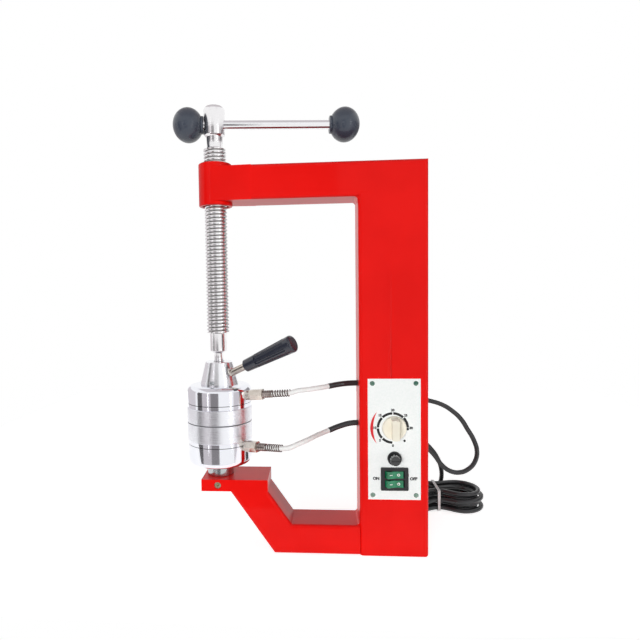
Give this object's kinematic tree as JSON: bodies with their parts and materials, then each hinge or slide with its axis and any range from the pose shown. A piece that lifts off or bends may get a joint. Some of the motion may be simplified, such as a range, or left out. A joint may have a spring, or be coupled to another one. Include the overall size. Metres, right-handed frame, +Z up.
{
  "type": "tire vulcanizer",
  "caption": "C-frame bench press with a threaded spindle and ball-knob bar that closes two electrically heated discs, with a timer, fuse and rocker switches on its column.",
  "frame": {"origin": "centre of the flat underside of the foot, on the bench", "axes": "+Z up along the spindle, -Y out of the control panel, +X from the heads towards the column"},
  "size_m": [0.4049, 0.2209, 0.532],
  "materials": {
    "red_enamel": "smooth glossy red enamel",
    "turned_steel": "turned, satin",
    "zinc_steel": "zinc plated, satin",
    "bright_steel": "polished",
    "polished_cover": "polished",
    "machined_plate": "fine turned lines",
    "bronze": "machined bronze",
    "nickel_brass": "nickel plated, satin",
    "black_moulding": "moulded, slight sheen",
    "ball_moulding": "moulded, semi-gloss",
    "black_cable": "smooth cable sheath",
    "white_lead": "glass-fibre braid",
    "ivory_knob": "moulded",
    "green_rocker": "moulded, translucent green",
    "white_panel": "white textured coat with printed dial",
    "mica": "mica heater",
    "fibre_board": "insulating fibre board",
    "sensor": "pressed steel",
    "tie": "moulded nylon",
    "fuse_glass": "glass tube fuse"
  },
  "bodies": {
    "frame": {"column": "red_enamel", "upper_arm": "red_enamel", "screw_boss": "red_enamel", "boss_nut": "bronze", "foot_beam": "red_enamel", "riser": "red_enamel", "anvil_block": "red_enamel", "anvil_set_screw": "zinc_steel", "lower_post": "zinc_steel", "post_nut": "zinc_steel", "lower_cover": "polished_cover", "lower_plate": "machined_plate", "lower_heater": "mica", "lower_insulation": "fibre_board", "lower_thermostat": "sensor", "lower_connector_nut": "nickel_brass", "lower_connector_collar": "nickel_brass", "lower_connector_spring": "bright_steel", "lower_lead": "white_lead", "lower_lead_sleeve": "black_cable", "upper_lead": "white_lead", "upper_lead_sleeve": "black_cable", "lead_bushes": "black_moulding", "panel_plate": "white_panel", "panel_screws": "zinc_steel", "timer_body": "sensor", "fuse_holder": "black_moulding", "switch_housing": "black_moulding", "cord_gland": "black_moulding", "power_cord": "black_cable", "power_cord_hank": "black_cable", "power_cord_tail": "black_cable", "cord_tie": "tie", "power_plug": "black_moulding"},
    "seat": {"thrust_seat": "bronze"},
    "screw": {"screw_spindle": "turned_steel"},
    "t_bar": {"tommy_bar": "bright_steel", "ball_knob_left": "ball_moulding", "ball_knob_right": "ball_moulding"},
    "upper_head": {"cone_hub": "machined_plate", "hub_lock_screw": "zinc_steel", "hub_screws": "zinc_steel", "handle_shank": "bright_steel", "handle_grip": "black_moulding", "upper_cover": "polished_cover", "upper_plate": "machined_plate", "upper_heater": "mica", "upper_insulation": "fibre_board", "upper_thermostat": "sensor", "upper_connector_nut": "nickel_brass", "upper_connector_collar": "nickel_brass", "upper_connector_spring": "bright_steel"},
    "timer_dial": {"timer_knob": "ivory_knob"},
    "upper_switch": {"rocker_upper": "green_rocker"},
    "lower_switch": {"rocker_lower": "green_rocker"},
    "fuse_drawer": {"fuse_cap": "black_moulding", "fuse": "fuse_glass"}
  },
  "joints": [
    {"name": "press_travel", "type": "slide", "parent": "frame", "child": "seat", "axis": [0, 0, 1], "range_m": [0, 0.09], "deforming": ["upper_lead", "upper_lead_sleeve"]},
    {"name": "screw_turn", "type": "hinge", "parent": "seat", "child": "screw", "pos_m": [-0.157, 0, 0.2116], "axis": [0, 0, 1], "range_deg": [0, 7715]},
    {"name": "bar_slide", "type": "slide", "parent": "screw", "child": "t_bar", "axis": [0.9945, 0.1045, 0], "range_m": [-0.125, 0]},
    {"name": "head_swivel", "type": "hinge", "parent": "seat", "child": "upper_head", "pos_m": [-0.157, 0, 0.1993], "axis": [0, 0, 1], "range_deg": [-20, 20]},
    {"name": "timer_turn", "type": "hinge", "parent": "frame", "child": "timer_dial", "pos_m": [0.0505, -0.0262, 0.152], "axis": [0, 1, 0], "range_deg": [-45, 270]},
    {"name": "upper_switch_rock", "type": "hinge", "parent": "frame", "child": "upper_switch", "pos_m": [0.0505, -0.0239, 0.0979], "axis": [0, 0, 1], "range_deg": [-20, 0]},
    {"name": "lower_switch_rock", "type": "hinge", "parent": "frame", "child": "lower_switch", "pos_m": [0.0505, -0.0239, 0.0873], "axis": [0, 0, 1], "range_deg": [-20, 0]},
    {"name": "fuse_cap_turn", "type": "hinge", "parent": "frame", "child": "fuse_drawer", "pos_m": [0.0505, -0.029, 0.1167], "axis": [0, 1, 0], "range_deg": [-90, 0]}
  ],
  "couplings": [
    {"joint": "screw_turn", "follows": "press_travel", "rad_per_m": 1496}
  ]
}
